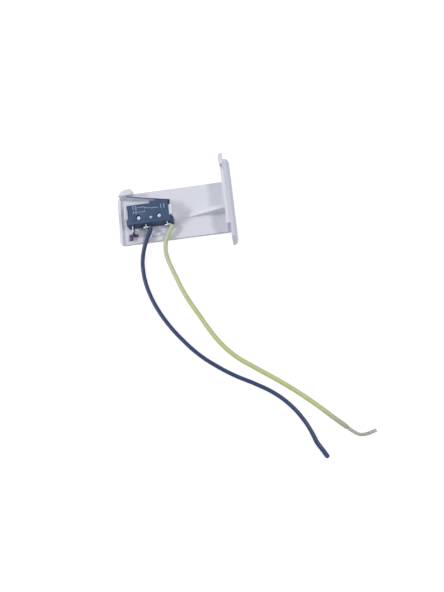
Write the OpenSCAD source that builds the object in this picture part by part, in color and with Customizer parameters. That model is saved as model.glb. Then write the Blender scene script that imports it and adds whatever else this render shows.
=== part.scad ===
// Snap-action lever switch on a moulded panel bracket, with two soldered leads.
// X runs along the arm towards the face plate, Y across the arm, Z up from the bench.

/* [Bracket arm] */
// Arm length from its free end to the flange
arm_length = 50.25; // [41:0.25:70]
// Arm width
arm_w = 24.6; // [22:0.2:34]
// Web thickness
web_t = 2; // [1.6:0.1:3]
// Height of the rim along the free end, above the web
rim_h = 1; // [0.6:0.1:1.4]
// Width of the rim
rim_w = 1.35; // [1:0.05:2]
// Radius of the arm's far corner and of the stop block there
corner_r = 4.5; // [3.6:0.1:5.4]
// Radius of the arm's near corner
near_corner_r = 1; // [0.5:0.1:2]

/* [Stop block for the lever] */
// Height of the block above the web
stop_h = 6; // [4:0.2:8]
// Thickness of the block across the arm
stop_t = 2.8; // [2.2:0.1:3.4]
// Distance of the block from the arm's free end
stop_in = 1.45; // [1:0.05:3]
// Reach of the block past the lever's tip
stop_over = 3.3; // [2.6:0.1:4]

/* [Gusset] */
// Gap between the switch's hook and the toe of the gusset
gusset_room = 4.68; // [1:0.02:8]
// Height of the gusset at the flange, above the web
gusset_h = 7; // [5:0.1:9]
// Thickness of the gusset
gusset_t = 1.9; // [1.2:0.1:2.4]
// Distance of the gusset's near face from the arm's near edge
gusset_y = 9.2; // [6:0.1:12]

/* [Flange and snap tongue] */
// Flange thickness
flange_t = 1.6; // [1.2:0.1:2.4]
// Step from the flange's top up to the face plate's
flange_step = 0.5; // [0:0.1:1]
// Reach of the snap tongue beyond the arm's far edge
tongue_reach = 8.4; // [7:0.1:12]
// Lower edge of the tongue above the bench
tongue_z = 3; // [2:0.2:5]
// Height of the snap bead on the tongue
bead_h = 0.5; // [0.3:0.1:0.8]

/* [Face plate] */
// Face plate length, across the arm
plate_len = 35.8; // [30:0.2:44]
// Face plate height above the bench
plate_h = 14.5; // [12:0.1:20]
// Face plate thickness
plate_t = 2.6; // [2.1:0.1:4]
// Radius round the outer edge of the face plate
plate_r = 2; // [1:0.1:2]
// Reach of the face plate beyond the arm's near edge
plate_drop = 6.2; // [4:0.1:8]

/* [Switch body] */
// Switch body length
case_len = 19.8; // [16.4:0.1:24]
// Height of the body over the plunger
case_h = 10.2; // [9.8:0.1:12.4]
// Drop from there to the body's low end
case_step = 0.95; // [0.5:0.05:1.1]
// Body thickness with its cover
case_t = 6.4; // [5.3:0.1:7.8]
// Cover thickness
cover_t = 1.2; // [1:0.1:1.5]
// Case floor thickness
floor_t = 0.9; // [0.7:0.1:1.1]
// Mounting hole diameter
hole_d = 2.35; // [1.9:0.05:2.85]
// Distance of a mounting hole from the body's nearer end
hole_inset = 5.15; // [4.8:0.05:5.6]
// Height of the mounting holes above the body's foot
hole_y = 2.9; // [2.6:0.1:3.2]
// Clearance of the bracket's pegs in the holes, on the radius
peg_gap = 0.25; // [0.2:0.01:0.3]
// Gap between the rim and the nearer hook
rim_room = 2.98; // [2.5:0.02:5]

/* [Snap hooks] */
// Hook thickness
hook_t = 0.9; // [0.8:0.05:1.1]
// Overlap of a hook's barb on the switch
hook_grip = 0.5; // [0.3:0.1:0.7]
// Width of a hook along the switch's side
hook_w = 4.7; // [3.8:0.1:5.6]
// Gap between a hook and the switch's end
hook_gap = 0.12; // [0.05:0.01:0.2]

/* [Lever and plunger] */
// Lever length from its pivot to its tip
lever_len = 19.1; // [15.8:0.1:23]
// Lever sheet thickness
lever_t = 0.35; // [0.25:0.05:0.45]
// Angle at which the free lever stands open
lever_open = 11.4; // [9.4:0.1:13.8]
// Gap between the free lever's tip and the block that stops it
stop_gap = 0.3; // [0.1:0.1:2]
// Pivot pin diameter
pivot_d = 1; // [0.8:0.05:1.2]
// Running clearance of the lever on its pivot, on the radius
pivot_gap = 0.04; // [0.02:0.01:0.1]
// Plunger diameter
plunger_d = 2; // [1.6:0.1:2.4]
// Running clearance of the plunger in its bore, on the radius
plunger_gap = 0.05; // [0.02:0.01:0.1]

/* [Contacts and terminals] */
// Terminal strip thickness
strip_t = 0.5; // [0.4:0.05:0.6]
// Terminal strip width
strip_w = 3.2; // [2.6:0.1:3.8]
// Reach of the soldered terminals below the body
tail_len = 1.85; // [1.6:0.05:2.2]
// Contact rivet head diameter
contact_d = 1.7; // [1.4:0.1:2]
// Open gap between the contacts
contact_gap = 0.5; // [0.4:0.05:0.6]

/* [Leads] */
// Black lead diameter
black_d = 1.8; // [1.6:0.1:2.1]
// Yellow lead diameter
yellow_d = 2; // [1.6:0.1:2]
// Bare conductor diameter
bare_d = 1.4; // [1.1:0.1:1.6]
// Stripped strand diameter at the terminals
strand_d = 0.8; // [0.6:0.05:0.9]

/* [Hidden] */

$fn = 48;
over = 0.1; // how far a cut runs past a face

white = [0.85, 0.86, 0.9];
lavender = [0.8, 0.79, 0.85];
dark = [0.2, 0.26, 0.36];

function round_to(v, step) = step * round(v / step);

// Switch: its own frame starts at the body's lower left corner, on the web.
flare = 0.7; // foot of the body beyond its ends
flare_h = 2.1;
hole_x = [hole_inset, case_len - hole_inset];
boss_wall = 0.7; // case wall round a mounting hole
boss_r = hole_d / 2 + boss_wall;
mid_z = case_t / 2; // middle plane of the lever, plunger and terminals
tray_t = case_t - cover_t;
side_w = 1; // wall of the case
roof_t = 0.9; // case wall over the mechanism
case_low = case_h - case_step;
roof = case_low - roof_t;
plunger_x = hole_x[1] - 1.75;
plunger_roof = case_h - roof_t;
step_x = plunger_x - 2.3; // where the body's top steps up to the plunger
hinge_x = case_len - 2.9; // where the top steps down to the hinge
end_step = 0.6; // recess of the end face for the lever's root
end_step_y = case_h - 2.8;

// Lever: its own frame has the pivot at the origin and the sheet level above it.
pivot = [case_len - 1.6, case_h - 1];
hinge_top = pivot[1] + pivot_d / 2 + 0.1;
sheet_y = case_h - pivot[1] + 0.15;
ear_wall = 0.31; // sheet round the pivot's bore
ear_r = pivot_d / 2 + pivot_gap + ear_wall;
ear_gap = 0.1; // side clearance of the lever's ears
lever_w = 2 * (tray_t - mid_z - ear_gap); // fits between the case's cheek and its cover
rib_gap = 0.2; // clearance between the ears and the rib that they straddle
rib_w = lever_w - 2 * (lever_t + rib_gap);
root_drop = 2.2; // the root bent down over the body's end
root_gap = 0.12;
root_low = sheet_y + lever_t - root_drop;
root_x = (case_len - end_step + root_gap - pivot[0] - root_low * sin(lever_open)) / cos(lever_open);
tip_left = pivot[0] - lever_len * cos(lever_open) + sheet_y * sin(lever_open);
tip_top = pivot[1] + lever_len * sin(lever_open) + (sheet_y + lever_t) * cos(lever_open);

// Arm: its own frame starts at its near edge. The part's origin is the middle of its box.
free_x = -1.05;
flange_x = free_x + arm_length;
plate_x = flange_x + flange_t;
tongue_y = arm_w + tongue_reach;
mid_x = (free_x + plate_x + plate_t) / 2;
mid_y = (max(tongue_y, plate_len - plate_drop) - plate_drop) / 2;
flange_h = plate_h - flange_step;
foot_r = 0.8; // fillet at the foot of the flange
rim_foot_r = 0.4;
switch_x = free_x + rim_w + rim_room + hook_t + hook_gap;
switch_y = round_to(arm_w - stop_t - stop_gap - tip_top, 0.05);
stop_end = round_to(switch_x + tip_left + stop_over, 0.1);
gusset_x = switch_x + case_len + hook_gap + hook_t + gusset_room;

// Plunger: its dome is tangent to the open lever, less a small gap.
dome_r = plunger_d * 0.8;
touch_gap = 0.05;
lever_line = pivot[1] + sheet_y / cos(lever_open) + (pivot[0] - plunger_x) * tan(lever_open);
plunger_top = lever_line - dome_r * (1 / cos(lever_open) - 1) - touch_gap;
collar_d = plunger_d + 0.9;
collar_t = 0.8;
collar_gap = 0.2; // clearance round the collar

// Mechanism: levels above the body's foot, from the mounting holes' bosses upwards
blade_t = 0.15;
blade_w = 2.9;
head_t = 0.4; // heads of the moving contact
no_head_t = 0.3; // head of the normally open contact
shank_d = 1; // shank of the moving contact
shelf_t = 0.35; // thickness of the terminals' inner shelves
contact_x = hole_x[0];
boss_top = hole_y + boss_r;
no_shelf_y = boss_top + 0.18;
blade_y = no_shelf_y + shelf_t + no_head_t + contact_gap + head_t;
nc_shelf_y = roof - 0.2 - shelf_t;
com_room_top = blade_y + 0.7;
com_x = case_len - 1.85;
com_shelf_x = case_len - 4.6; // the blade flexes over this shelf's round nose
no_x = hole_x[0] + 2.9;
nc_x = 1.85;
rivet_x = case_len - 2.8;
rivet_d = 0.8;
rivet_head_d = 1.4;
rivet_head_t = 0.3;
window = [contact_x + 1.45, com_shelf_x + 0.1]; // opening in the blade for the bowed spring
window_w = 1.5;
spring_w = 1.2;

// Unused terminal's tail: its fold below the body, and the fold's height above the web
fold = [-4.35, -3.3];
fold_z = mid_z - strip_w / 2 - 0.3;

// Stripped end of a lead: through the terminal's eye, then down to the insulation
eye_drop = 1; // eye of a soldered terminal below the body
eye_d = strand_d + 0.06;
strand_tip = 1.1; // bare wire past the terminal
strand_side = 1.6; // from the terminal to the lead's middle
lead_drop = 1.45; // start of the insulation below the body

// Cord routes, in the arm's frame
yellow_route = [[23.85, 5.6, 5.2], [23.8, 4.8, 5.1], [23.1, 3.5, 4.8], [22.2, 2.2, 4.4],
    [21.1, 0.5, 3.8], [20.2, -1.5, 3.3], [19.7, -4, 2.6], [19.6, -6.5, 1.9], [20, -9, 1.3],
    [21, -12.5, 1.05], [23, -18, 1.05], [25.2, -24, 1.05], [28, -30, 1.05], [31.6, -36.5, 1.05],
    [35.4, -43.5, 1.05], [40, -50.5, 1.05], [46, -57, 1.05], [54, -63, 1.05], [62.5, -69, 1.05],
    [71, -75.5, 1.05], [78.5, -82, 1.05], [84, -87.2, 1.05], [89.2, -91.95, 1.05]];
bare_route = [[89.2, -91.95, 1.05], [91.4, -93.85, 0.95], [93.6, -95.2, 0.85], [96.1, -95.4, 0.8],
    [98.7, -94.85, 0.8], [100.8, -94.2, 0.8]];
black_route = [[13.95, 5.6, 5.2], [13.9, 4.8, 5.1], [13.45, 3.7, 4.9], [12.55, 2.3, 4.5],
    [11.55, 0.5, 3.9], [10.4, -1.8, 3.2], [9.15, -5, 2.2], [8.2, -9, 1.2], [8.1, -13, 1],
    [8.6, -18, 1], [10.4, -25, 1], [13.3, -32, 1], [17.6, -39.5, 1], [23, -46.8, 1],
    [30, -54.5, 1], [37, -60.2, 1], [44.5, -65.2, 1], [53, -69.8, 1], [60.5, -74.5, 1],
    [66.5, -80, 1], [71, -86.1, 1], [74.1, -92.3, 1], [75.6, -96.5, 1]];
sleeve_route = [[74.1, -92.3, 1.05], [75.6, -96.5, 1.05], [79.4, -103.1, 1.05]];
sleeve_wall = 0.1;
cord_sides = 8;
// A lead starts under its own terminal.
function lead_shift(x, route) =
    [switch_x + x + strand_side - route[0][0], switch_y - lead_drop - route[0][1], 0];
yellow_shift = lead_shift(com_x, yellow_route);
black_shift = lead_shift(no_x, black_route);

// Points of a smooth curve through a route, two for each stretch
function smooth(p) = [for (i = [0:len(p) - 2])
    let (a = p[max(i - 1, 0)], b = p[i], c = p[i + 1], d = p[min(i + 2, len(p) - 1)])
    each [b, (9 * (b + c) - a - d) / 16]];
function rings(p) = concat(smooth(p), [p[len(p) - 1]]);
function unit(v) = v / norm(v);
function heading(p, i) = unit(p[min(i + 1, len(p) - 1)] - p[max(i - 1, 0)]);
function ring(p, i, d) = let (t = heading(p, i), side = unit(cross(t, [0, 0, 1])),
    up = cross(side, t))
    [for (k = [0:cord_sides - 1]) let (a = 360 * (k + 0.5) / cord_sides)
        p[i] + d / 2 * (cos(a) * side + sin(a) * up)];

module tube(route, d) {
    p = rings(route);
    last = len(p) - 1;
    n = cord_sides;
    points = [for (i = [0:last]) each ring(p, i, d)];
    skin = [for (i = [0:last - 1], k = [0:n - 1])
        let (a = i * n + k, b = i * n + (k + 1) % n) [a, b, b + n, a + n]];
    caps = [[for (k = [n - 1:-1:0]) k], [for (k = [0:n - 1]) last * n + k]];
    polyhedron(points, concat([for (f = skin) [f[0], f[3], f[2], f[1]]],
        [for (f = caps) [for (k = [n - 1:-1:0]) f[k]]]), convexity = 10);
}

// Frames
module place() { translate([-mid_x, -mid_y, 0]) children(); }
module in_switch() { place() translate([switch_x, switch_y, web_t]) children(); }
module on_pivot() {
    in_switch() translate([pivot[0], pivot[1], 0]) rotate([0, 0, -lever_open]) children();
}
// A box across the middle plane of the switch: from corner, to corner, width
module across(from, to, w) {
    translate([from[0], from[1], mid_z - w / 2]) cube([to[0] - from[0], to[1] - from[1], w]);
}
// A round rod along Y from one height to another
module rod_y(x, from, to, d) {
    translate([x, from, mid_z]) rotate([-90, 0, 0]) cylinder(h = to - from, d = d);
}
// Hollow fillet of radius r along Y, in the corner of the planes x = 0 and z = 0
module fillet_y(r, length) {
    difference() {
        cube([r, length, r]);
        translate([r, -over, r]) rotate([-90, 0, 0]) cylinder(h = length + 2 * over, r = r);
    }
}

// Bracket
module web_outline() {
    difference() {
        translate([free_x, 0]) square([arm_length, arm_w]);
        translate([free_x, 0]) square(near_corner_r);
        translate([free_x, arm_w - corner_r]) square(corner_r);
    }
    translate([free_x + near_corner_r, near_corner_r]) circle(near_corner_r);
    translate([free_x + corner_r, arm_w - corner_r]) circle(corner_r);
}
module rim_outline() {
    intersection() {
        web_outline();
        translate([free_x, 0]) square([rim_w, arm_w]);
    }
}
module stop_outline() {
    tip_r = 1;
    start = free_x + stop_in;
    intersection() {
        union() {
            translate([start, arm_w - stop_t]) square([stop_end - tip_r - start, stop_t]);
            translate([start, arm_w - stop_t + tip_r])
                square([stop_end - start, stop_t - 2 * tip_r]);
            for (y = [arm_w - stop_t + tip_r, arm_w - tip_r])
                translate([stop_end - tip_r, y]) circle(tip_r);
        }
        // the outer corner runs beside the arm's
        union() {
            translate([start + corner_r, arm_w - corner_r]) circle(corner_r);
            translate([start + corner_r, 0]) square([arm_length, arm_w]);
        }
    }
}
// Snap hook with a barb over the switch's cover, and a slope that leads the switch in
module hook() {
    head = 1.1;
    barb = 0.25;
    seat = case_t + 0.1;
    translate([0, flare_h + 0.2 + hook_w, 0]) rotate([90, 0, 0])
        linear_extrude(hook_w) polygon([[-hook_t, 0], [0, 0], [0, seat], [hook_grip, seat],
            [hook_grip, seat + barb], [-hook_t / 2, seat + head], [-hook_t, seat + head]]);
}
module peg(x) {
    d = hole_d - 2 * peg_gap;
    tip = 0.2;
    length = case_t - 0.5; // the pegs end a little below the cover
    translate([x, hole_y, 0]) {
        cylinder(h = length - tip, d = d);
        translate([0, 0, length - tip]) cylinder(h = tip, d1 = d, d2 = d - 2 * tip);
    }
}
module gusset() {
    translate([0, gusset_y + gusset_t, web_t]) rotate([90, 0, 0]) linear_extrude(gusset_t)
        polygon([[gusset_x, 0], [flange_x, 0], [flange_x, gusset_h]]);
}
module flange() {
    tongue_h = flange_h - tongue_z;
    bead_y = tongue_y - 3; // where the bead's ramps start and end, and its ridge
    bead_end = bead_y + 2.6;
    ridge = [bead_y + 1.9, bead_y + 2.5];
    pocket_skin = 0.5; // what is left of the tongue behind its relief
    pocket = [arm_w + 0.6, arm_w + 3.4];
    pocket_h = 3;
    difference() {
        union() {
            translate([flange_x, 0, 0]) cube([flange_t, arm_w, flange_h]);
            translate([flange_x, arm_w, tongue_z])
                cube([flange_t, tongue_reach - flange_t / 2, tongue_h]);
            translate([flange_x + flange_t / 2, tongue_y - flange_t / 2, tongue_z])
                cylinder(h = tongue_h, d = flange_t);
            // snap bead on the tongue's inner face
            translate([flange_x, 0, tongue_z]) linear_extrude(tongue_h)
                polygon([[over, bead_y], [over, bead_end], [-bead_h * 0.6, ridge[1]],
                    [-bead_h, ridge[0]]]);
        }
        // relief that lets the tongue bend
        translate([flange_x - over, pocket[0], flange_h - pocket_h])
            cube([flange_t - pocket_skin + over, pocket[1] - pocket[0], pocket_h + over]);
    }
}
// Low ribs moulded on the web below the switch: one under the unused terminal's tail,
// one that parts the two leads
module web_ribs() {
    tail_rib = fold_z - 0.1;
    translate([-flare, fold[1] + 0.7, 0]) cube([nc_x + 1.2, 1.5, tail_rib]);
    translate([no_x + strand_side + 0.75, -tail_len - 3, 0]) cube([3.3, 1.2, tail_rib + 0.2]);
}
module bracket() {
    color(white) {
        place() {
            linear_extrude(web_t) web_outline();
            linear_extrude(web_t + rim_h) rim_outline();
            linear_extrude(web_t + stop_h) stop_outline();
            translate([free_x + rim_w, near_corner_r, web_t])
                fillet_y(rim_foot_r, arm_w - near_corner_r - corner_r);
            translate([flange_x, arm_w, web_t]) rotate([0, 0, 180]) fillet_y(foot_r, arm_w);
            gusset();
            flange();
        }
        in_switch() {
            for (x = hole_x) peg(x);
            web_ribs();
            translate([-hook_gap, 0, 0]) hook();
            translate([case_len + hook_gap, 0, 0]) mirror([1, 0, 0]) hook();
        }
    }
}

// Face plate: its outer edge is rounded on all four sides
module plate_profile(span) {
    square([plate_t - plate_r, span]);
    translate([0, plate_r]) square([plate_t, span - 2 * plate_r]);
    for (s = [plate_r, span - plate_r]) translate([plate_t - plate_r, s]) circle(plate_r);
}
module face_plate() {
    color(lavender) place() translate([plate_x, -plate_drop, 0]) intersection() {
        linear_extrude(plate_h) intersection() {
            plate_profile(plate_len);
            square([plate_t, plate_len]);
        }
        translate([0, plate_len, 0]) rotate([90, 0, 0]) linear_extrude(plate_len)
            intersection() {
                plate_profile(plate_h);
                square([plate_t, plate_h]);
            }
    }
}

// Switch body
module body_outline() {
    polygon([[0, 0], [case_len, 0], [case_len, end_step_y], [case_len - end_step, end_step_y],
        [case_len - end_step, hinge_top], [hinge_x, hinge_top], [hinge_x, case_h],
        [step_x, case_h], [step_x, case_low], [0, case_low]]);
}
module room(from, to) {
    translate([from[0], from[1], floor_t])
        cube([to[0] - from[0], to[1] - from[1], tray_t - floor_t + over]);
}
module mechanism_room() {
    right = case_len - side_w;
    plunger_side = hinge_x - 0.4;
    collar_side = collar_d / 2 + collar_gap;
    difference() {
        union() {
            room([side_w, flare_h], [right, boss_top + over]);
            room([side_w, boss_top], [plunger_side, roof]);
            // common terminal's corner, under the hinge
            room([plunger_side - over, boss_top], [right, com_room_top]);
            // over the plunger's collar
            room([plunger_x - collar_side, roof - over], [plunger_x + collar_side, plunger_roof]);
        }
        for (x = hole_x) translate([x, hole_y, 0]) cylinder(h = case_t, r = boss_r);
    }
}
module mounting_holes() {
    for (x = hole_x) translate([x, hole_y, -over]) cylinder(h = case_t + 2 * over, d = hole_d);
}
module ear_slots() {
    slot = lever_t + ear_gap + rib_gap;
    low = pivot[1] - ear_r - 0.2;
    left = pivot[0] - ear_r - 0.3;
    for (z = [mid_z - rib_w / 2 - slot, mid_z + rib_w / 2])
        translate([left, low, z]) cube([case_len - left, case_h, slot]);
}
module switch_case() {
    color(dark) in_switch() {
        difference() {
            union() {
                linear_extrude(tray_t) body_outline();
                translate([-flare, 0, 0]) cube([case_len + 2 * flare, flare_h, tray_t]);
            }
            mechanism_room();
            mounting_holes();
            ear_slots();
            rod_y(plunger_x, roof, case_h + over, plunger_d + 2 * plunger_gap);
            for (x = [com_x, no_x, nc_x])
                across([x - strip_t / 2, -over], [x + strip_t / 2, flare_h + over], strip_w);
        }
        // pivot pin, moulded across the ear slots
        translate([pivot[0], pivot[1], mid_z - lever_w / 2 - ear_gap])
            cylinder(h = tray_t - mid_z + lever_w / 2 + ear_gap, d = pivot_d);
    }
}
module switch_cover() {
    color(dark) in_switch() difference() {
        translate([0, 0, tray_t]) linear_extrude(cover_t) body_outline();
        mounting_holes();
    }
}

// Lever: a bent strip with two ears that turn on the pivot pin
module lever() {
    tip_r = 0.6;
    color([0.6, 0.62, 0.66]) on_pivot() difference() {
        union() {
            across([-lever_len + tip_r, sheet_y], [root_x + lever_t, sheet_y + lever_t], lever_w);
            across([-lever_len, sheet_y], [-lever_len + tip_r + over, sheet_y + lever_t],
                lever_w - 2 * tip_r);
            for (s = [-1, 1])
                translate([-lever_len + tip_r, sheet_y, mid_z + s * (lever_w / 2 - tip_r)])
                rotate([-90, 0, 0]) cylinder(h = lever_t, r = tip_r);
            across([root_x, root_low], [root_x + lever_t, sheet_y + over], lever_w);
            for (z = [mid_z - lever_w / 2, mid_z + lever_w / 2 - lever_t]) translate([0, 0, z]) {
                cylinder(h = lever_t, r = ear_r);
                translate([-ear_r, 0, 0]) cube([2 * ear_r, sheet_y + lever_t / 2, lever_t]);
            }
        }
        cylinder(h = case_t, d = pivot_d + 2 * pivot_gap);
    }
}

module plunger() {
    bottom = blade_y + blade_t + touch_gap;
    collar_top = plunger_roof - 0.05;
    color([0.24, 0.26, 0.3]) in_switch() {
        intersection() {
            rod_y(plunger_x, bottom, plunger_top, plunger_d);
            translate([plunger_x, plunger_top - dome_r, mid_z]) union() {
                sphere(dome_r);
                rotate([90, 0, 0]) cylinder(h = case_h, d = plunger_d + over);
            }
        }
        rod_y(plunger_x, collar_top - collar_t, collar_top, collar_d);
    }
}

// Terminals
module soldered_tail(x) {
    difference() {
        across([x - strip_t / 2, -tail_len], [x + strip_t / 2, flare_h], strip_w);
        translate([x - strip_t, -eye_drop, mid_z]) rotate([0, 90, 0])
            cylinder(h = 2 * strip_t, d = eye_d);
    }
}
module com_terminal() {
    nose_r = shelf_t / 2;
    color([0.75, 0.7, 0.55]) in_switch() {
        soldered_tail(com_x);
        across([com_x - strip_t / 2, flare_h], [com_x + strip_t / 2, blade_y], strip_w);
        translate([com_shelf_x + nose_r, blade_y - nose_r, mid_z - strip_w / 2])
            cylinder(h = strip_w, r = nose_r);
        difference() {
            across([com_shelf_x + nose_r, blade_y - shelf_t], [com_x, blade_y], strip_w);
            rod_y(rivet_x, blade_y - shelf_t - over, blade_y + over, rivet_d);
        }
    }
}
module no_terminal() {
    shelf_top = no_shelf_y + shelf_t;
    color([0.75, 0.7, 0.55]) in_switch() {
        soldered_tail(no_x);
        across([no_x - strip_t / 2, flare_h], [no_x + strip_t / 2, shelf_top], strip_w);
        across([contact_x - contact_d / 2, no_shelf_y], [no_x, shelf_top], strip_w);
    }
}
module nc_terminal() {
    shelf_top = nc_shelf_y + shelf_t;
    foot = [-0.8, 0.9];
    foot_end = -6;
    fold_x = 3.5;
    color([0.75, 0.7, 0.55]) in_switch() {
        // unused tail, folded flat over the web
        across([nc_x - strip_t / 2, fold[0]], [nc_x + strip_t / 2, shelf_top], strip_w);
        across([nc_x, nc_shelf_y], [contact_x + contact_d / 2, shelf_top], strip_w);
        translate([0, 0, fold_z]) linear_extrude(strip_t) {
            translate([foot[0], fold[0]]) square([fold_x - foot[0], fold[1] - fold[0]]);
            translate([foot[0], foot_end]) square([foot[1] - foot[0], fold[0] - foot_end + over]);
        }
    }
}

// Snap mechanism
module snap_blade() {
    top = blade_y + blade_t + over;
    color([0.8, 0.55, 0.3]) in_switch() difference() {
        across([contact_x - contact_d / 2, blade_y], [rivet_x + 1.1, blade_y + blade_t], blade_w);
        across([window[0], blade_y - over], [window[1], top], window_w);
        rod_y(contact_x, blade_y - over, top, shank_d);
        rod_y(rivet_x, blade_y - over, top, rivet_d);
    }
}
module tension_spring() {
    span = window[1] - window[0] - 0.2;
    sag = 0.7;
    r = (span * span / 4 + sag * sag) / (2 * sag);
    half = asin(span / 2 / r);
    color([0.8, 0.55, 0.3]) in_switch()
        translate([window[0] + 0.05 + span / 2, blade_y + r - sag, mid_z - spring_w / 2])
        rotate([0, 0, 270 - half]) rotate_extrude(angle = 2 * half)
        translate([r - blade_t, 0]) square([blade_t, spring_w]);
}
// A rivet along Y: shank from one height to another, and heads of the given size past it
module rivet(x, from, to, shank, head, head_h) {
    rod_y(x, from, to, shank);
    rod_y(x, to, to + head_h, head);
    rod_y(x, from - head_h, from, head);
}
module blade_rivet() {
    color([0.8, 0.8, 0.82]) in_switch() rivet(rivet_x, blade_y - shelf_t, blade_y + blade_t,
        rivet_d, rivet_head_d, rivet_head_t);
}
module moving_contact() {
    color([0.85, 0.85, 0.88]) in_switch()
        rivet(contact_x, blade_y, blade_y + blade_t, shank_d, contact_d, head_t);
}
module no_contact() {
    from = no_shelf_y + shelf_t;
    color([0.85, 0.85, 0.88]) in_switch() rod_y(contact_x, from, from + no_head_t, contact_d);
}
module nc_contact() {
    closed_gap = 0.04; // between the closed contacts
    color([0.85, 0.85, 0.88]) in_switch()
        rod_y(contact_x, blade_y + blade_t + head_t + closed_gap, nc_shelf_y, contact_d);
}

// Solder joints and stripped strands
module strands(x) {
    translate([x - strand_tip, -eye_drop, mid_z]) rotate([0, 90, 0])
        cylinder(h = strand_tip + strand_side, d = strand_d);
    translate([x + strand_side, -eye_drop, mid_z]) {
        sphere(d = strand_d);
        rotate([90, 0, 0]) cylinder(h = lead_drop - eye_drop, d = strand_d);
    }
}
module solder(x) {
    bead = 1.2;
    translate([x - strip_t / 2 - bead, -eye_drop, mid_z]) rotate([0, 90, 0]) difference() {
        cylinder(h = bead, d1 = strand_d + 0.2, d2 = strand_d + 1);
        translate([0, 0, -over]) cylinder(h = bead + 2 * over, d = strand_d);
    }
}
module yellow_strands() { color([0.7, 0.7, 0.68]) in_switch() strands(com_x); }
module black_strands() { color([0.7, 0.7, 0.68]) in_switch() strands(no_x); }
module com_solder() { color([0.75, 0.75, 0.78]) in_switch() solder(com_x); }
module no_solder() { color([0.75, 0.75, 0.78]) in_switch() solder(no_x); }

// Leads
module lead(route, shift, d) { place() translate(shift) tube(route, d); }
module black_lead() { color([0.16, 0.22, 0.38]) lead(black_route, black_shift, black_d); }
module yellow_lead() { color([0.74, 0.77, 0.5]) lead(yellow_route, yellow_shift, yellow_d); }
module yellow_bare_end() { color([0.62, 0.64, 0.58]) lead(bare_route, yellow_shift, bare_d); }
module black_end_sleeve() {
    color([0.16, 0.2, 0.34]) lead(sleeve_route, black_shift, black_d + 2 * sleeve_wall);
}

bracket();
face_plate();
switch_case();
switch_cover();
lever();
plunger();
com_terminal();
no_terminal();
nc_terminal();
snap_blade();
tension_spring();
blade_rivet();
moving_contact();
no_contact();
nc_contact();
com_solder();
no_solder();
yellow_strands();
black_strands();
black_lead();
yellow_lead();
yellow_bare_end();
black_end_sleeve();
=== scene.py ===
import math
import bpy
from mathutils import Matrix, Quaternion, Vector


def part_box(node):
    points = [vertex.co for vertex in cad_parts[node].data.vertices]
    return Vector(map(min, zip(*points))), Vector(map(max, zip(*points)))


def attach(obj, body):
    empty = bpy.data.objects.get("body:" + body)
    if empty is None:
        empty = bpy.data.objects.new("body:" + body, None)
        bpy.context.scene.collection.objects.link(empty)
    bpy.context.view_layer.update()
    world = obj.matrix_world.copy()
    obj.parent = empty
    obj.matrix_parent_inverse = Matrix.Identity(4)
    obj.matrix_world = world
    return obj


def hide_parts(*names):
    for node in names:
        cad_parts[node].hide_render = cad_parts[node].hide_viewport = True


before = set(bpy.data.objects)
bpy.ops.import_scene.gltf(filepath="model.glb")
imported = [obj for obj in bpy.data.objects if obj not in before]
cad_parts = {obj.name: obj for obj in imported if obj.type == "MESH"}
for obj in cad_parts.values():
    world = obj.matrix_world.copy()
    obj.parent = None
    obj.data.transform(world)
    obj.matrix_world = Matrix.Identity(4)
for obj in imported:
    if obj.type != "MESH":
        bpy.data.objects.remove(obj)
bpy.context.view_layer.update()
scene = bpy.context.scene


# Bracket. One injection moulding in white ABS: web with a low end rim, the lever's stop block,
# gusset, flange and snap tongue, and the pegs and hooks that hold the switch. The mould leaves
# a fine satin grain, and edges broken to about a seventh of a millimetre.
def to_linear(colour):
    """A colour written as #RRGGBB, in the linear values that a shader takes."""
    values = [int(colour[i:i + 2], 16) / 255 for i in (1, 3, 5)]
    return [v / 12.92 if v <= 0.04045 else ((v + 0.055) / 1.055) ** 2.4 for v in values] + [1]


def new_material(name):
    """A material with no nodes yet."""
    material = bpy.data.materials.new(name)
    material.use_nodes = True
    material.node_tree.nodes.clear()
    return material


def add_node(owner, kind, inputs=None, **settings):
    """Adds a node. Each input is given a value, or is linked where it is given a socket.
    A Mix node of colours has them at its inputs 6 and 7, and its output at 2."""
    node = owner.node_tree.nodes.new(kind)
    for name, setting in settings.items():
        setattr(node, name, setting)
    for name, value in (inputs or {}).items():
        if isinstance(value, bpy.types.NodeSocket):
            owner.node_tree.links.new(value, node.inputs[name])
        else:
            node.inputs[name].default_value = value
    return node


def pick(pieces):
    """Selects these pieces alone, with the first as the active one."""
    bpy.ops.object.select_all(action="DESELECT")
    for piece in pieces:
        piece.select_set(True)
    bpy.context.view_layer.objects.active = pieces[0]


def broken_edges(name, node, edge):
    """A new piece from a copy of a node's mesh, merged, with its sharp edges rounded."""
    piece = bpy.data.objects.new(name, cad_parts[node].data.copy())
    scene.collection.objects.link(piece)
    piece.data.materials.clear()
    pick([piece])
    bpy.ops.mesh.customdata_custom_splitnormals_clear()
    bpy.ops.object.mode_set(mode="EDIT")
    bpy.ops.mesh.select_all(action="SELECT")
    bpy.ops.mesh.remove_doubles(threshold=1e-6)
    bpy.ops.mesh.dissolve_limited(angle_limit=math.radians(1))
    bpy.ops.object.mode_set(mode="OBJECT")
    bevel = piece.modifiers.new("edge", "BEVEL")
    bevel.width = edge
    bevel.segments = 2
    bevel.limit_method = "ANGLE"
    bevel.angle_limit = math.radians(30)
    bpy.ops.object.modifier_apply(modifier=bevel.name)
    bpy.ops.object.shade_smooth_by_angle(angle=math.radians(35))
    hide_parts(node)
    return piece


white_abs = new_material("satin moulded white ABS")
place = add_node(white_abs, "ShaderNodeTexCoord").outputs["Object"]
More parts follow.
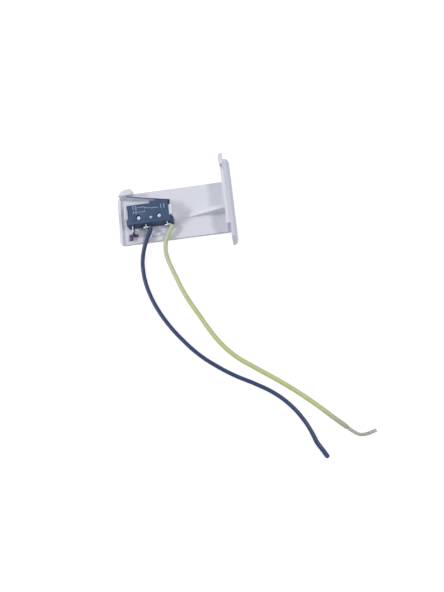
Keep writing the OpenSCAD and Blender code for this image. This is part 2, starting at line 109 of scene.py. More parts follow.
# flow of the melt: patches about 14 mm across, barely lighter and darker
flow = add_node(white_abs, "ShaderNodeTexNoise",
    {"Vector": place, "Scale": 1 / 0.014, "Detail": 2.0, "Roughness": 0.5})
tone = add_node(white_abs, "ShaderNodeMix", {"Factor": flow.outputs["Fac"],
    6: to_linear("#D7D9E5"), 7: to_linear("#DDDEE9")}, data_type="RGBA")
# spark-eroded grain of 0.15 mm, drawn at 0.4 mm so that it shows
grain = add_node(white_abs, "ShaderNodeTexNoise",
    {"Vector": place, "Scale": 1 / 0.0004, "Detail": 3.0, "Roughness": 0.6})
sheen = add_node(white_abs, "ShaderNodeMapRange",
    {"Value": grain.outputs["Fac"], "To Min": 0.38, "To Max": 0.52})
relief = add_node(white_abs, "ShaderNodeBump",
    {"Height": grain.outputs["Fac"], "Strength": 0.12, "Distance": 0.00004})
surface = add_node(white_abs, "ShaderNodeBsdfPrincipled", {"Base Color": tone.outputs[2],
    "Roughness": sheen.outputs[0], "Normal": relief.outputs[0], "IOR": 1.54})
add_node(white_abs, "ShaderNodeOutputMaterial", {"Surface": surface.outputs[0]})

bracket = broken_edges("bracket_moulding", "bracket", edge=0.00014)
bracket.data.materials.append(white_abs)
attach(bracket, "root")


# Face plate. A separate moulding in a faintly lavender ABS, polished on the outside, with its
# outer edge rounded by nearly 2 mm on all four sides. It is welded to the flange.
plate_low, plate_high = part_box("face_plate")
plate_edge = 0.0019
plate_back_edge = 0.00015
bpy.ops.object.select_all(action="DESELECT")
bpy.ops.mesh.primitive_cube_add(size=1, location=(plate_low + plate_high) / 2,
    scale=plate_high - plate_low)
plate = bpy.context.object
plate.name = "face_plate_moulding"
bpy.ops.object.transform_apply(location=True, rotation=True, scale=True)
for end, size, steps in ((plate_high.x, plate_edge, 8), (plate_low.x, plate_back_edge, 2)):
    bpy.ops.object.mode_set(mode="EDIT")
    bpy.ops.mesh.select_mode(type="EDGE")
    bpy.ops.mesh.select_all(action="DESELECT")
    bpy.ops.object.mode_set(mode="OBJECT")
    for line in plate.data.edges:
        corners = [plate.data.vertices[i].co for i in line.vertices]
        line.select = all(abs(corner.x - end) < 1e-6 for corner in corners)
    bpy.ops.object.mode_set(mode="EDIT")
    bpy.ops.mesh.bevel(offset=size, segments=steps, affect="EDGES")
bpy.ops.object.mode_set(mode="OBJECT")
bpy.ops.object.shade_smooth_by_angle(angle=math.radians(35))

lavender_abs = new_material("polished lavender ABS")
place = add_node(lavender_abs, "ShaderNodeTexCoord").outputs["Object"]
# flow of the melt across the plate, in patches of about 9 mm
flow = add_node(lavender_abs, "ShaderNodeTexNoise",
    {"Vector": place, "Scale": 1 / 0.009, "Detail": 2.0})
tone = add_node(lavender_abs, "ShaderNodeMix", {"Factor": flow.outputs["Fac"],
    6: to_linear("#C9CBDB"), 7: to_linear("#D0D1E0")}, data_type="RGBA")
# hairline handling marks 0.1 mm wide, drawn at 0.5 mm so that they show
marks = add_node(lavender_abs, "ShaderNodeTexNoise",
    {"Vector": place, "Scale": 1 / 0.0005, "Detail": 4.0, "Roughness": 0.7})
sheen = add_node(lavender_abs, "ShaderNodeMapRange",
    {"Value": marks.outputs["Fac"], "To Min": 0.22, "To Max": 0.36})
relief = add_node(lavender_abs, "ShaderNodeBump",
    {"Height": marks.outputs["Fac"], "Strength": 0.05, "Distance": 0.00003})
surface = add_node(lavender_abs, "ShaderNodeBsdfPrincipled", {"Base Color": tone.outputs[2],
    "Roughness": sheen.outputs[0], "Normal": relief.outputs[0], "IOR": 1.54})
add_node(lavender_abs, "ShaderNodeOutputMaterial", {"Surface": surface.outputs[0]})
plate.data.materials.append(lavender_abs)
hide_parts("face_plate")
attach(plate, "root")


# Switch case. The tray of a sub-miniature snap-action switch, moulded in dark blue-grey
# glass-filled PBT with its cheek, foot and hinge pin. It is pressed over the bracket's pegs
# and held by the hooks.
dark_pbt = new_material("glass-filled dark PBT")
place = add_node(dark_pbt, "ShaderNodeTexCoord").outputs["Object"]
# glass fibres 0.2 mm long come to the surface as paler flecks, drawn at 0.5 mm, and lie
# thicker in clouds of 5 mm
fibres = add_node(dark_pbt, "ShaderNodeTexNoise",
    {"Vector": place, "Scale": 1 / 0.0005, "Detail": 4.0, "Roughness": 0.65})
clouds = add_node(dark_pbt, "ShaderNodeTexNoise",
    {"Vector": place, "Scale": 1 / 0.005, "Detail": 2.0})
flecks = add_node(dark_pbt, "ShaderNodeMath",
    {0: fibres.outputs["Fac"], 1: clouds.outputs["Fac"]}, operation="MULTIPLY")
amount = add_node(dark_pbt, "ShaderNodeMapRange",
    {"Value": flecks.outputs[0], "From Min": 0.12, "From Max": 0.42})
tone = add_node(dark_pbt, "ShaderNodeMix", {"Factor": amount.outputs[0],
    6: to_linear("#213A60"), 7: to_linear("#2D4A72")}, data_type="RGBA")
sheen = add_node(dark_pbt, "ShaderNodeMapRange",
    {"Value": fibres.outputs["Fac"], "To Min": 0.42, "To Max": 0.62})
relief = add_node(dark_pbt, "ShaderNodeBump",
    {"Height": fibres.outputs["Fac"], "Strength": 0.2, "Distance": 0.00004})
surface = add_node(dark_pbt, "ShaderNodeBsdfPrincipled", {"Base Color": tone.outputs[2],
    "Roughness": sheen.outputs[0], "Normal": relief.outputs[0], "IOR": 1.55})
add_node(dark_pbt, "ShaderNodeOutputMaterial", {"Surface": surface.outputs[0]})

case = broken_edges("switch_tray", "switch_case", edge=0.00008)
case.data.materials.append(dark_pbt)
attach(case, "root")


# Terminals. Three strips stamped from half-hard brass and tin plated, pressed into the tray's
# slots. Two tails have an eye for a lead, and the unused one is folded flat. Its fold is
# painted dark violet, as painted shade and a painted dark reflection.
tinned_brass = new_material("tin-plated brass")
place = add_node(tinned_brass, "ShaderNodeTexCoord").outputs["Object"]
height = add_node(tinned_brass, "ShaderNodeSeparateXYZ", {0: place}).outputs["Y"]
# rolling marks of the strip, 0.05 mm apart, drawn at 0.4 mm
rolled = add_node(tinned_brass, "ShaderNodeMapping",
    {"Vector": place, "Scale": (1, 1, 0.15)})
marks = add_node(tinned_brass, "ShaderNodeTexNoise",
    {"Vector": rolled.outputs[0], "Scale": 1 / 0.0004, "Detail": 3.0})
plate_tone = add_node(tinned_brass, "ShaderNodeMix", {"Factor": marks.outputs["Fac"],
    6: to_linear("#9AA2A8"), 7: to_linear("#BCC2C6")}, data_type="RGBA")
# painted shade and reflection in dark violet cover the fold, which starts 3.3 mm below the
# case, and fade at its top
fold_drop = 0.0033
fold_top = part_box("switch_case")[0].y - fold_drop
painted_fold_shade = add_node(tinned_brass, "ShaderNodeMapRange", {"Value": height,
    "From Min": fold_top - 0.0001, "From Max": fold_top + 0.0002, "To Min": 1.0,
    "To Max": 0.0})
tone = add_node(tinned_brass, "ShaderNodeMix", {"Factor": painted_fold_shade.outputs[0],
    6: plate_tone.outputs[2], 7: to_linear("#4A4063")}, data_type="RGBA")
sheen = add_node(tinned_brass, "ShaderNodeMapRange",
    {"Value": marks.outputs["Fac"], "To Min": 0.22, "To Max": 0.42})
relief = add_node(tinned_brass, "ShaderNodeBump",
    {"Height": marks.outputs["Fac"], "Strength": 0.15, "Distance": 0.00003})
surface = add_node(tinned_brass, "ShaderNodeBsdfPrincipled", {"Base Color": tone.outputs[2],
    "Metallic": 1.0, "Roughness": sheen.outputs[0], "Normal": relief.outputs[0]})
add_node(tinned_brass, "ShaderNodeOutputMaterial", {"Surface": surface.outputs[0]})

for contact in ("com", "no", "nc"):
    terminal = broken_edges(contact + "_strip", contact + "_terminal", edge=0.00006)
    terminal.data.materials.append(tinned_brass)
    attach(terminal, "root")


# Snap mechanism. A beryllium copper blade, riveted to the common terminal and thrown over by
# a bowed spring, carries a silver contact between two fixed ones. Hardening leaves the
# copper a warm brown, and the contacts are bright.
def dress(node, material):
    """Gives its material to a node that keeps its own mesh."""
    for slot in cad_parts[node].material_slots:
        slot.material = material


copper = new_material("age-hardened beryllium copper")
place = add_node(copper, "ShaderNodeTexCoord").outputs["Object"]
# rolled strip: marks run along the blade, 0.05 mm apart, drawn at 0.2 mm
rolled = add_node(copper, "ShaderNodeMapping", {"Vector": place, "Scale": (0.1, 1, 1)})
marks = add_node(copper, "ShaderNodeTexNoise",
    {"Vector": rolled.outputs[0], "Scale": 1 / 0.0002, "Detail": 3.0})
tone = add_node(copper, "ShaderNodeMix", {"Factor": marks.outputs["Fac"],
    6: to_linear("#B98A5E"), 7: to_linear("#D2A374")}, data_type="RGBA")
sheen = add_node(copper, "ShaderNodeMapRange",
    {"Value": marks.outputs["Fac"], "To Min": 0.25, "To Max": 0.4})
surface = add_node(copper, "ShaderNodeBsdfPrincipled", {"Base Color": tone.outputs[2],
    "Metallic": 1.0, "Roughness": sheen.outputs[0]})
add_node(copper, "ShaderNodeOutputMaterial", {"Surface": surface.outputs[0]})
dress("snap_blade", copper)
dress("tension_spring", copper)

silver = new_material("headed fine silver")
place = add_node(silver, "ShaderNodeTexCoord").outputs["Object"]
# soft tarnish in spots of about 0.3 mm
spots = add_node(silver, "ShaderNodeTexNoise",
    {"Vector": place, "Scale": 1 / 0.0003, "Detail": 2.0})
tone = add_node(silver, "ShaderNodeMix", {"Factor": spots.outputs["Fac"],
    6: to_linear("#C9C6BE"), 7: to_linear("#EDEDEC")}, data_type="RGBA")
sheen = add_node(silver, "ShaderNodeMapRange",
    {"Value": spots.outputs["Fac"], "To Min": 0.18, "To Max": 0.35})
surface = add_node(silver, "ShaderNodeBsdfPrincipled", {"Base Color": tone.outputs[2],
    "Metallic": 1.0, "Roughness": sheen.outputs[0]})
add_node(silver, "ShaderNodeOutputMaterial", {"Surface": surface.outputs[0]})
for contact in ("blade_rivet", "moving_contact", "no_contact", "nc_contact"):
    dress(contact, silver)


# Plunger. A small button with a domed top and a collar inside the case, moulded in dark grey
# acetal, which slides well and looks waxy.
acetal = new_material("moulded dark grey acetal")
place = add_node(acetal, "ShaderNodeTexCoord").outputs["Object"]
# faint cloudiness, 1 mm across
clouds = add_node(acetal, "ShaderNodeTexNoise",
    {"Vector": place, "Scale": 1 / 0.001, "Detail": 2.0})
tone = add_node(acetal, "ShaderNodeMix", {"Factor": clouds.outputs["Fac"],
    6: to_linear("#3A3E48"), 7: to_linear("#454A55")}, data_type="RGBA")
surface = add_node(acetal, "ShaderNodeBsdfPrincipled", {"Base Color": tone.outputs[2],
    "Roughness": 0.35, "IOR": 1.48})
add_node(acetal, "ShaderNodeOutputMaterial", {"Surface": surface.outputs[0]})
plunger = broken_edges("plunger_button", "plunger", edge=0.00008)
plunger.data.materials.append(acetal)
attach(plunger, "plunger")


# Lever. A strip of stainless spring steel, blanked and bent, whose two ears snap on the
# case's pin. The rolled faces are smooth and faintly blue, and the faces that look up are
# painted dark, as painted shade.
lever_open = math.radians(11.4)
spring_steel = new_material("rolled stainless spring steel")
place = add_node(spring_steel, "ShaderNodeTexCoord").outputs["Object"]
# rolling marks 0.05 mm apart along the strip as it stands open, drawn at 0.15 mm
rolled = add_node(spring_steel, "ShaderNodeMapping",
    {"Vector": place, "Rotation": (0, 0, lever_open), "Scale": (0.06, 1, 1)})
marks = add_node(spring_steel, "ShaderNodeTexNoise",
    {"Vector": rolled.outputs[0], "Scale": 1 / 0.00015, "Detail": 3.0})
tone = add_node(spring_steel, "ShaderNodeMix", {"Factor": marks.outputs["Fac"],
    6: to_linear("#C2C4CF"), 7: to_linear("#D8DAE2")}, data_type="RGBA")
# painted shade: faces whose normal points up are darkened towards a dark blue-grey
facing = add_node(spring_steel, "ShaderNodeNewGeometry").outputs["Normal"]
upright = add_node(spring_steel, "ShaderNodeSeparateXYZ", {0: facing}).outputs["Z"]
painted_top_shade = add_node(spring_steel, "ShaderNodeMapRange",
    {"Value": upright, "From Min": 0.5, "From Max": 0.9})
steel_with_painted_top_shade = add_node(spring_steel, "ShaderNodeMix", {"Factor": painted_top_shade.outputs[0],
    6: tone.outputs[2], 7: to_linear("#4B5068")}, data_type="RGBA")
sheen = add_node(spring_steel, "ShaderNodeMapRange",
    {"Value": marks.outputs["Fac"], "To Min": 0.24, "To Max": 0.36})
surface = add_node(spring_steel, "ShaderNodeBsdfPrincipled",
    {"Base Color": steel_with_painted_top_shade.outputs[2], "Metallic": 1.0, "Roughness": sheen.outputs[0]})
add_node(spring_steel, "ShaderNodeOutputMaterial", {"Surface": surface.outputs[0]})
lever = broken_edges("lever_strip", "lever", edge=0.00005)
lever.data.materials.append(spring_steel)
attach(lever, "lever")


# Switch cover. The same plastic as the tray, welded on all round, so that a fine line shows
# between the two. Pad printing in pale ink gives the numbers of the contacts and how they
# change over, and a drop of pale paint marks an inspected switch.
cover = broken_edges("switch_lid", "switch_cover", edge=0.00012)
cover.data.materials.append(dark_pbt)
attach(cover, "root")

cover_low, cover_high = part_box("switch_cover")
# the ink stands proud of the cover, starts just inside it, and has spread round each digit
ink_height = 0.000012
ink_sunk = 0.000004
ink_spread = 0.00005
stroke_width = 0.0003
# a digit's height as a share of its font's size
digit_share = 0.68


def printed_number(digits, x, y, height):
    """Digits on the cover, with their middle that far from its lower left corner."""
    bpy.ops.object.select_all(action="DESELECT")
    bpy.ops.object.text_add(location=(cover_low.x + x, cover_low.y + y, cover_high.z))
    number = bpy.context.object
    number.data.body = digits
    number.data.size = height / digit_share
    number.data.align_x = "CENTER"
    number.data.align_y = "CENTER"
    number.data.extrude = ink_height
    number.data.offset = ink_spread
    bpy.ops.object.convert(target="MESH")
    bpy.ops.object.transform_apply(location=True, rotation=True, scale=True)
    return number


def printed_line(start, end):
    """A straight stroke on the cover between two points, from the same corner."""
    stroke = Vector(end) - Vector(start)
    middle = (Vector(start) + Vector(end)) / 2
    bpy.ops.object.select_all(action="DESELECT")
    bpy.ops.mesh.primitive_plane_add(size=1, rotation=(0, 0, math.atan2(stroke.y, stroke.x)),
        location=(cover_low.x + middle.x, cover_low.y + middle.y,
        cover_high.z - ink_sunk))
    line = bpy.context.object
    line.scale = (stroke.length, stroke_width, 1)
    bpy.ops.object.transform_apply(location=True, rotation=True, scale=True)
    bpy.ops.object.mode_set(mode="EDIT")
    bpy.ops.mesh.select_all(action="SELECT")
    bpy.ops.mesh.extrude_region_move(
        TRANSFORM_OT_translate={"value": (0, 0, ink_height + ink_sunk)})
    bpy.ops.mesh.select_all(action="SELECT")
    bpy.ops.mesh.normals_make_consistent(inside=False)
    bpy.ops.object.mode_set(mode="OBJECT")
    return line


# each number's middle and height, then each stroke's two ends: 11 changes over from 12 to 14
marks_on_cover = [
    printed_number("12", 0.0036, 0.0077, 0.0017),
    printed_number("14", 0.0036, 0.0054, 0.0015),
    printed_number("11", 0.0166, 0.0070, 0.0020),
    printed_line((0.0052, 0.0077), (0.0084, 0.0077)),
    printed_line((0.00825, 0.00755), (0.00825, 0.00695)),
    printed_line((0.0052, 0.0054), (0.0084, 0.0054)),
    printed_line((0.00825, 0.00555), (0.00825, 0.0061)),
    printed_line((0.0146, 0.0067), (0.0118, 0.0067)),
    printed_line((0.01177, 0.00671), (0.00845, 0.00723)),
]
pick(marks_on_cover)
bpy.ops.object.join()
printing = bpy.context.object
printing.name = "contact_numbers"

ink = new_material("pale pad-printing ink")
place = add_node(ink, "ShaderNodeTexCoord").outputs["Object"]
# the silicone pad leaves the ink thin in specks of about 0.25 mm
wear = add_node(ink, "ShaderNodeTexNoise",
    {"Vector": place, "Scale": 1 / 0.00025, "Detail": 3.0, "Roughness": 0.7})
tone = add_node(ink, "ShaderNodeMix", {"Factor": wear.outputs["Fac"],
    6: to_linear("#7388A3"), 7: to_linear("#A6B6CA")}, data_type="RGBA")
surface = add_node(ink, "ShaderNodeBsdfPrincipled",
    {"Base Color": tone.outputs[2], "Roughness": 0.55, "IOR": 1.5})
add_node(ink, "ShaderNodeOutputMaterial", {"Surface": surface.outputs[0]})
printing.data.materials.append(ink)
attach(printing, "root")


def turned(name, rings, start, along):
    """A round piece made ring by ring, each given as its distance along and its radius."""
    along = Vector(along).normalized()
    start = Vector(start)
    bpy.ops.object.select_all(action="DESELECT")
    bpy.ops.mesh.primitive_circle_add(vertices=32, radius=rings[0][1], fill_type="NGON",
        location=start + rings[0][0] * along,
        rotation=along.to_track_quat("Z", "Y").to_euler())
    piece = bpy.context.object
    piece.name = name
    bpy.ops.object.transform_apply(location=True, rotation=True, scale=True)
    bpy.ops.object.mode_set(mode="EDIT")
    bpy.ops.mesh.select_all(action="SELECT")
    for (last, last_radius), (distance, radius) in zip(rings, rings[1:]):
        bpy.ops.mesh.extrude_region_move(
            TRANSFORM_OT_translate={"value": (distance - last) * along})
        bpy.ops.transform.resize(value=[radius / last_radius] * 3,
            center_override=start + distance * along)
    bpy.ops.mesh.select_all(action="SELECT")
    bpy.ops.mesh.normals_make_consistent(inside=False)
    bpy.ops.object.mode_set(mode="OBJECT")
    bpy.ops.object.shade_smooth_by_angle(angle=math.radians(50))
    return piece


paint = new_material("dried pale paint drop")
place = add_node(paint, "ShaderNodeTexCoord").outputs["Object"]
# thinner paint towards one side, over about 1 mm
thin = add_node(paint, "ShaderNodeTexNoise",
    {"Vector": place, "Scale": 1 / 0.001, "Detail": 1.0})
tone = add_node(paint, "ShaderNodeMix", {"Factor": thin.outputs["Fac"],
    6: to_linear("#9DB4C4"), 7: to_linear("#C8DAE3")}, data_type="RGBA")
surface = add_node(paint, "ShaderNodeBsdfPrincipled",
    {"Base Color": tone.outputs[2], "Roughness": 0.3, "IOR": 1.5})
add_node(paint, "ShaderNodeOutputMaterial", {"Surface": surface.outputs[0]})
# the drop starts just inside the cover, so that no gap shows under it
dot_sunk = 0.00002
dot_place = (cover_low.x + 0.0109, cover_low.y + 0.00236, cover_high.z - dot_sunk)
dot = turned("inspection_dot", [(0, 0.00055), (0.00004, 0.0006), (0.00009, 0.00056),
    (0.00013, 0.00042), (0.00015, 0.0002)], dot_place, (0, 0, 1))
dot.data.materials.append(paint)
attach(dot, "root")


# Stripped ends and solder. The tinned copper strands of each lead pass through a terminal's
# eye, are turned down towards the lead, and are soldered from the side, so that the solder
# draws up into a small cone with a bright, slightly dimpled skin.
def refined(points, times):
    """The same route with points added along its smooth curve, by the four-point rule."""
    for _ in range(times):
        ends = [points[0], *points, points[-1]]
        finer = []
        for a, b, c, d in zip(ends, ends[1:], ends[2:], ends[3:]):
            finer += [b, (9 * (b + c) - a - d) / 16]
        points = [*finer, points[-1]]
    return points


def tube(name, points, diameter, radii=None, roundness=6):
    """A round tube, as a curve through the points. The radii are shares of its full one."""
    bpy.ops.object.select_all(action="DESELECT")
    bpy.ops.curve.primitive_bezier_curve_add()
    curve = bpy.context.object
    curve.name = name
    spline = curve.data.splines[0]
    spline.bezier_points.add(len(points) - 2)
    for knot, point, share in zip(spline.bezier_points, points, radii or [1] * len(points)):
        knot.co = point
        knot.radius = share
        knot.handle_left_type = "AUTO"
        knot.handle_right_type = "AUTO"
    curve.data.bevel_depth = diameter / 2
    curve.data.bevel_resolution = roundness
    curve.data.resolution_u = 6
    curve.data.use_fill_caps = True
    return curve


def wire_bundle(name, points, diameter, wires, lay):
    """Wires twisted round a core along a route, one turn in the given lay, as one mesh."""
    # as thick as fit side by side in the ring, and 15% more, so that the tin closes their gaps
    half_angle = math.pi / wires
    wire = diameter / 2 * math.sin(half_angle) / (1 + math.sin(half_angle)) * 1.15
    reach = diameter / 2 - wire
    routes = [[] for _ in range(wires)]
    along = 0
    for i, point in enumerate(points):
        heading = (points[min(i + 1, len(points) - 1)] - points[max(i - 1, 0)]).normalized()
        side = heading.cross(Vector((0, 0, 1))).normalized()
        over = side.cross(heading)
        if i:
            along += (point - points[i - 1]).length
        for k, route in enumerate(routes):
            turn = 2 * math.pi * (k / wires + along / lay)
            route.append(point + reach * (math.cos(turn) * side + math.sin(turn) * over))
    strands = [tube(name, route, wire * 2, roundness=2) for route in routes]
    strands.append(tube(name, points, reach * 2))
    for strand in strands:
        strand.data.resolution_u = 1
    pick(strands)
    bpy.ops.object.convert(target="MESH")
    bpy.ops.object.join()
    bundle = bpy.context.object
    bundle.name = name
    bpy.ops.object.shade_smooth_by_angle(angle=math.radians(60))
    return bundle


tinned_copper = new_material("tinned copper strands")
place = add_node(tinned_copper, "ShaderNodeTexCoord").outputs["Object"]
# tin lies thicker in patches of 0.6 mm, and the copper shows through where it is thin
patches = add_node(tinned_copper, "ShaderNodeTexNoise",
    {"Vector": place, "Scale": 1 / 0.0006, "Detail": 3.0})
tone = add_node(tinned_copper, "ShaderNodeMix", {"Factor": patches.outputs["Fac"],
    6: to_linear("#858A80"), 7: to_linear("#ACB1A6")}, data_type="RGBA")
sheen = add_node(tinned_copper, "ShaderNodeMapRange",
    {"Value": patches.outputs["Fac"], "To Min": 0.3, "To Max": 0.55})
surface = add_node(tinned_copper, "ShaderNodeBsdfPrincipled",
    {"Base Color": tone.outputs[2], "Metallic": 1.0, "Roughness": sheen.outputs[0]})
add_node(tinned_copper, "ShaderNodeOutputMaterial", {"Surface": surface.outputs[0]})

solder = new_material("tin solder")
place = add_node(solder, "ShaderNodeTexCoord").outputs["Object"]
# frosted grain of the set solder, 0.12 mm, drawn at 0.25 mm
frost = add_node(solder, "ShaderNodeTexNoise",
    {"Vector": place, "Scale": 1 / 0.00025, "Detail": 3.0})
tone = add_node(solder, "ShaderNodeMix", {"Factor": frost.outputs["Fac"],
    6: to_linear("#8A949A"), 7: to_linear("#B4BCC2")}, data_type="RGBA")
sheen = add_node(solder, "ShaderNodeMapRange",
    {"Value": frost.outputs["Fac"], "To Min": 0.15, "To Max": 0.4})
relief = add_node(solder, "ShaderNodeBump",
    {"Height": frost.outputs["Fac"], "Strength": 0.3, "Distance": 0.00005})
surface = add_node(solder, "ShaderNodeBsdfPrincipled", {"Base Color": tone.outputs[2],
    "Metallic": 1.0, "Roughness": sheen.outputs[0], "Normal": relief.outputs[0]})
add_node(solder, "ShaderNodeOutputMaterial", {"Surface": surface.outputs[0]})

strand_diameter = 0.00078
# how far the middle of a strand lies inside its CAD node's box
strand_inset = 0.0004
for colour, contact in (("yellow", "com"), ("black", "no")):
    low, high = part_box(colour + "_strands")
    level = high.y - strand_inset
    middle = (low.z + high.z) / 2
    bend = high.x - strand_inset
    # straight through the eye, round a small bend, and on into the lead's insulation
    route = [Vector((x, y, middle)) for x, y in ((low.x + 0.0001, level),
        (low.x + 0.0009, level), (bend - 0.0007, level), (bend - 0.00025, level - 0.00008),
        (bend - 0.00003, level - 0.00025), (bend, low.y + 0.00002), (bend, low.y - 0.0004))]
    strands = wire_bundle(colour + "_stripped_end", refined(route, 2), strand_diameter,
        wires=7, lay=0.004)
    strands.data.materials.append(tinned_copper)
    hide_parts(colour + "_strands")
    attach(strands, "root")

    cone_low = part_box(contact + "_solder")[0]
    joint = turned(contact + "_solder_cone", [(0.00001, 0.00042), (0.0001, 0.00048),
        (0.0004, 0.00052), (0.0007, 0.0006), (0.00095, 0.00072), (0.0011, 0.00086),
        (0.00119, 0.0009), (0.0018, 0.00089), (0.002, 0.0007), (0.00225, 0.00052),
        (0.0026, 0.00043)], (cone_low.x, level, middle), (1, 0, 0))
    joint.data.materials.append(solder)
    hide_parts(contact + "_solder")
    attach(joint, "root")


# Leads. Stranded copper in soft extruded PVC, about 2 mm across, one yellow, one black. Both
# are soldered on under the switch, drop over the bracket's near edge and lie on the bench in
# loose curves.
free_end_inset = 0.00105
arm_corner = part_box("bracket")[0] + Vector((free_end_inset, 0, 0))


def on_arm(points):
    """Points measured from the bench under the arm's near corner, just inside its free end."""
    return [arm_corner + Vector(point) for point in points]


def insulation(name, dull, bright, turns=()):
    """A plastic skin of two close colours, which extruding and handling leave faintly
    clouded. Each turn is to another colour, between two places along X or Y."""
    material = new_material(name)
    place = add_node(material, "ShaderNodeTexCoord").outputs["Object"]
    # clouds 2.5 mm across
    clouds = add_node(material, "ShaderNodeTexNoise",
        {"Vector": place, "Scale": 1 / 0.0025, "Detail": 3.0})
    tone = add_node(material, "ShaderNodeMix", {"Factor": clouds.outputs["Fac"],
        6: to_linear(dull), 7: to_linear(bright)}, data_type="RGBA")
    for colour, axis, starts, ends in turns:
        along = add_node(material, "ShaderNodeSeparateXYZ", {0: place}).outputs[axis]
        turned_by = add_node(material, "ShaderNodeMapRange",
            {"Value": along, "From Min": starts, "From Max": ends})
        tone = add_node(material, "ShaderNodeMix", {"Factor": turned_by.outputs[0],
            6: tone.outputs[2], 7: to_linear(colour)}, data_type="RGBA")
    # pits of the extruder's melt, 0.1 mm, drawn at 0.35 mm
    pits = add_node(material, "ShaderNodeTexNoise",
        {"Vector": place, "Scale": 1 / 0.00035, "Detail": 3.0})
    sheen = add_node(material, "ShaderNodeMapRange",
        {"Value": pits.outputs["Fac"], "To Min": 0.34, "To Max": 0.5})
    relief = add_node(material, "ShaderNodeBump",
        {"Height": pits.outputs["Fac"], "Strength": 0.15, "Distance": 0.00004})
    surface = add_node(material, "ShaderNodeBsdfPrincipled", {"Base Color": tone.outputs[2],
        "Roughness": sheen.outputs[0], "Normal": relief.outputs[0], "IOR": 1.53})
    add_node(material, "ShaderNodeOutputMaterial", {"Surface": surface.outputs[0]})
    return material


yellow_route = on_arm([(0.02385, 0.0056, 0.0052), (0.0238, 0.0048, 0.0051),
    (0.0231, 0.0035, 0.0048), (0.0222, 0.0022, 0.0044), (0.0211, 0.0005, 0.0038),
    (0.0202, -0.0015, 0.0033), (0.0197, -0.004, 0.0026), (0.0196, -0.0065, 0.0019),
    (0.02, -0.009, 0.0013), (0.021, -0.0125, 0.00105), (0.023, -0.018, 0.00105),
    (0.0252, -0.024, 0.00105), (0.028, -0.03, 0.00105), (0.0316, -0.0365, 0.00105),
    (0.0354, -0.0435, 0.00105), (0.04, -0.0505, 0.00105), (0.046, -0.057, 0.00105),
    (0.054, -0.063, 0.00105), (0.0625, -0.069, 0.00105), (0.071, -0.0755, 0.00105),
    (0.0785, -0.082, 0.00105), (0.084, -0.0872, 0.00105), (0.0892, -0.09195, 0.00105)])
bare_route = on_arm([(0.0892, -0.09195, 0.00105), (0.0914, -0.09385, 0.00095),
    (0.0936, -0.0952, 0.00085), (0.0961, -0.0954, 0.0008), (0.0987, -0.09485, 0.0008),
    (0.1008, -0.0942, 0.0008)])
black_route = on_arm([(0.01395, 0.0056, 0.0052), (0.0139, 0.0048, 0.0051),
    (0.01345, 0.0037, 0.0049), (0.01255, 0.0023, 0.0045), (0.01155, 0.0005, 0.0039),
    (0.0104, -0.0018, 0.0032), (0.00915, -0.005, 0.0022), (0.0082, -0.009, 0.0012),
    (0.0081, -0.013, 0.001), (0.0086, -0.018, 0.001), (0.0104, -0.025, 0.001),
    (0.0133, -0.032, 0.001), (0.0176, -0.0395, 0.001), (0.023, -0.0468, 0.001),
    (0.03, -0.0545, 0.001), (0.037, -0.0602, 0.001), (0.0445, -0.0652, 0.001),
    (0.053, -0.0698, 0.001), (0.0605, -0.0745, 0.001), (0.0665, -0.08, 0.001),
    (0.071, -0.0861, 0.001), (0.0741, -0.0923, 0.001), (0.0756, -0.0965, 0.001)])
sleeve_route = on_arm([(0.0741, -0.0923, 0.00105), (0.0756, -0.0965, 0.00105),
    (0.0794, -0.1031, 0.00105)])

# stripping has drawn the yellow insulation in over its last 1.5 mm
yellow_diameter = 0.002
yellow_end = yellow_route[-1]
yellow_heading = (yellow_end - yellow_route[-2]).normalized()
yellow_points = yellow_route[:-1] + [yellow_end - 0.0015 * yellow_heading,
    yellow_end - 0.0006 * yellow_heading, yellow_end]
yellow_lead = tube("yellow_insulation", yellow_points, yellow_diameter,
    [1] * (len(yellow_route) - 1) + [1, 0.95, 0.78])
# it has bleached towards the switch, and gone grey where the iron heated its far end
yellow_pvc = insulation("soft yellow PVC", "#B5BE80", "#C8CF92",
    [("#C2CAA0", "Y", plate_low.y - 0.024, plate_low.y - 0.008),
    ("#A0A68C", "X", yellow_end.x - 0.012, yellow_end.x)])
yellow_lead.data.materials.append(yellow_pvc)
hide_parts("yellow_lead")
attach(yellow_lead, "root")

# the far end of the yellow lead is stripped, twisted and tinned, and ends in a bead of tin
bare_diameter = 0.00139
tip = bare_route[-1]
tip_heading = (tip - bare_route[-2]).normalized()
bare_points = refined(bare_route, 3)[:-1] + [tip - 0.00012 * tip_heading]
bare_end = wire_bundle("yellow_tinned_end", bare_points, bare_diameter, wires=11, lay=0.012)
bare_end.data.materials.append(tinned_copper)
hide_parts("yellow_bare_end")
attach(bare_end, "root")
bead = turned("yellow_tin_bead", [(-0.0019, 0.00052), (-0.0016, 0.00064), (-0.0011, 0.0007),
    (-0.0006, 0.00066), (-0.00026, 0.00052), (-0.0001, 0.0003)], tip, tip_heading)
bead.data.materials.append(solder)
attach(bead, "root")

# the lead is made nearly an eighth thicker at the switch, and less so at each point of the
# route up to the 14th: the extra dark width is painted shadow, standing for the shade beside it
black_diameter = 0.0018
shadow_swelling = 0.12
shadow_widened_points = 14
black_lead = tube("black_insulation", black_route, black_diameter,
    [1 + shadow_swelling * max(0, 1 - i / shadow_widened_points) for i in range(len(black_route))])
black_pvc = insulation("soft black PVC", "#04224F", "#0E3366")
black_lead.data.materials.append(black_pvc)
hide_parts("black_lead")
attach(black_lead, "root")

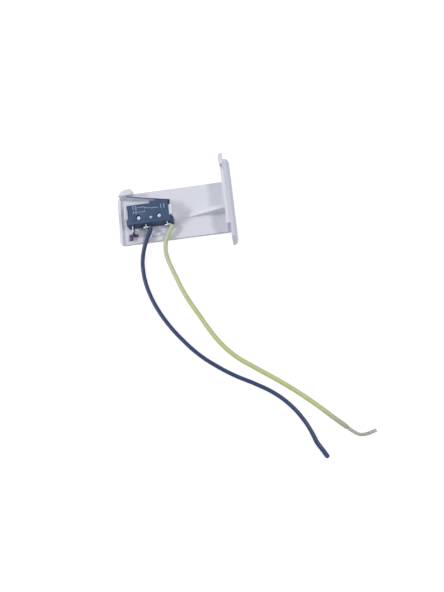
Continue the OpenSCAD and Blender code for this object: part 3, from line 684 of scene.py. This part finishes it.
# a heat-shrunk sleeve closes the black lead's far end, drawn in round its mouth
sleeve_diameter = 0.002
sleeve_end = sleeve_route[-1]
end_heading = (sleeve_end - sleeve_route[-2]).normalized()
sleeve_points = [sleeve_route[0], (sleeve_route[0] + sleeve_route[1]) / 2, sleeve_route[1],
    (sleeve_route[1] + sleeve_end) / 2, sleeve_end - 0.0012 * end_heading,
    sleeve_end - 0.0006 * end_heading, sleeve_end - 0.00025 * end_heading,
    sleeve_end - 0.00006 * end_heading]
sleeve = tube("black_sleeve", sleeve_points, sleeve_diameter,
    [0.95, 0.98, 1, 1, 1, 0.96, 0.84, 0.6])
shrunk = insulation("shrunk black sleeve", "#0A2450", "#183564")
sleeve.data.materials.append(shrunk)
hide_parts("black_end_sleeve")
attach(sleeve, "root")


# Bench, light and camera. The switch lies on a white table under a pale sky, which is dimmer on
# the near side, with a softbox at middle height on the left and a small lamp high on the right.
# It is looked down on from the near side.
def looked_at(owner):
    """One where a surface is looked at, straight or in a gloss or a glass, and nought where
    it only throws its light on others."""
    rays = add_node(owner, "ShaderNodeLightPath")
    mirrored = add_node(owner, "ShaderNodeMath",
        {0: rays.outputs["Is Camera Ray"], 1: rays.outputs["Is Glossy Ray"]},
        operation="MAXIMUM")
    seen = add_node(owner, "ShaderNodeMath",
        {0: mirrored.outputs[0], 1: rays.outputs["Is Transmission Ray"]}, operation="MAXIMUM")
    return seen.outputs[0]


bench_size = 3
bench_gap = 0.00002
bpy.ops.object.select_all(action="DESELECT")
bpy.ops.mesh.primitive_plane_add(size=bench_size, location=(0, 0, -bench_gap))
bench = bpy.context.object
bench.name = "bench"
# matt paint: looked at, it glows nearly white and keeps a soft shadow, and the light that it
# throws back is a pale grey one
bench_paint = new_material("matt white table")
matt = add_node(bench_paint, "ShaderNodeBsdfDiffuse", {"Color": to_linear("#D2D4DA")})
faint = add_node(bench_paint, "ShaderNodeBsdfDiffuse", {"Color": to_linear("#A8A8AC")})
glow = add_node(bench_paint, "ShaderNodeEmission",
    {"Color": to_linear("#FFFFFF"), "Strength": 0.76})
shown = add_node(bench_paint, "ShaderNodeAddShader",
    {0: faint.outputs[0], 1: glow.outputs[0]})
bench_surface = add_node(bench_paint, "ShaderNodeMixShader",
    {0: looked_at(bench_paint), 1: matt.outputs[0], 2: shown.outputs[0]})
add_node(bench_paint, "ShaderNodeOutputMaterial", {"Surface": bench_surface.outputs[0]})
bench.data.materials.append(bench_paint)

sky = bpy.data.worlds.new("pale studio")
sky.use_nodes = True
sky.node_tree.nodes.clear()
# the room is darker behind the viewer, on the near side
towards = add_node(sky, "ShaderNodeTexCoord").outputs["Generated"]
far = add_node(sky, "ShaderNodeSeparateXYZ", {0: towards}).outputs["Y"]
strength = add_node(sky, "ShaderNodeMapRange",
    {"Value": far, "From Min": -1.0, "From Max": 1.0, "To Min": 0.24, "To Max": 0.68})
lit = add_node(sky, "ShaderNodeBackground",
    {"Color": to_linear("#FFFFFF"), "Strength": strength.outputs[0]})
backdrop = add_node(sky, "ShaderNodeBackground",
    {"Color": to_linear("#FFFFFF"), "Strength": 1.0})
sky_surface = add_node(sky, "ShaderNodeMixShader",
    {0: looked_at(sky), 1: lit.outputs[0], 2: backdrop.outputs[0]})
add_node(sky, "ShaderNodeOutputWorld", {"Surface": sky_surface.outputs[0]})
scene.world = sky


def lamp(name, place, size, power):
    """A soft lamp of that width and depth, turned to the switch."""
    bpy.ops.object.light_add(type="AREA", location=place)
    light = bpy.context.object
    light.name = name
    light.rotation_euler = (-Vector(place)).to_track_quat("-Z", "Y").to_euler()
    light.data.shape = "RECTANGLE"
    light.data.size = size[0]
    light.data.size_y = size[1]
    light.data.energy = power


lamp("left_softbox", (-0.46, 0.02, 0.42), (0.22, 0.1), 1.45)
lamp("right_lamp", (0.22, -0.06, 0.35), (0.06, 0.06), 0.44)

eye = Vector((0.0271, -0.0826, 0.2046))
aim = Vector((0.0167, -0.0427, 0))
roll = math.radians(-21.4)
facing = (aim - eye).to_track_quat("-Z", "Y") @ Quaternion((0, 0, 1), roll)
bpy.ops.object.camera_add(location=eye, rotation=facing.to_euler())
camera = bpy.context.object
camera.data.sensor_width = 36
camera.data.lens = 28
camera.data.clip_start = 0.01
scene.camera = camera
scene.view_settings.view_transform = "Standard"
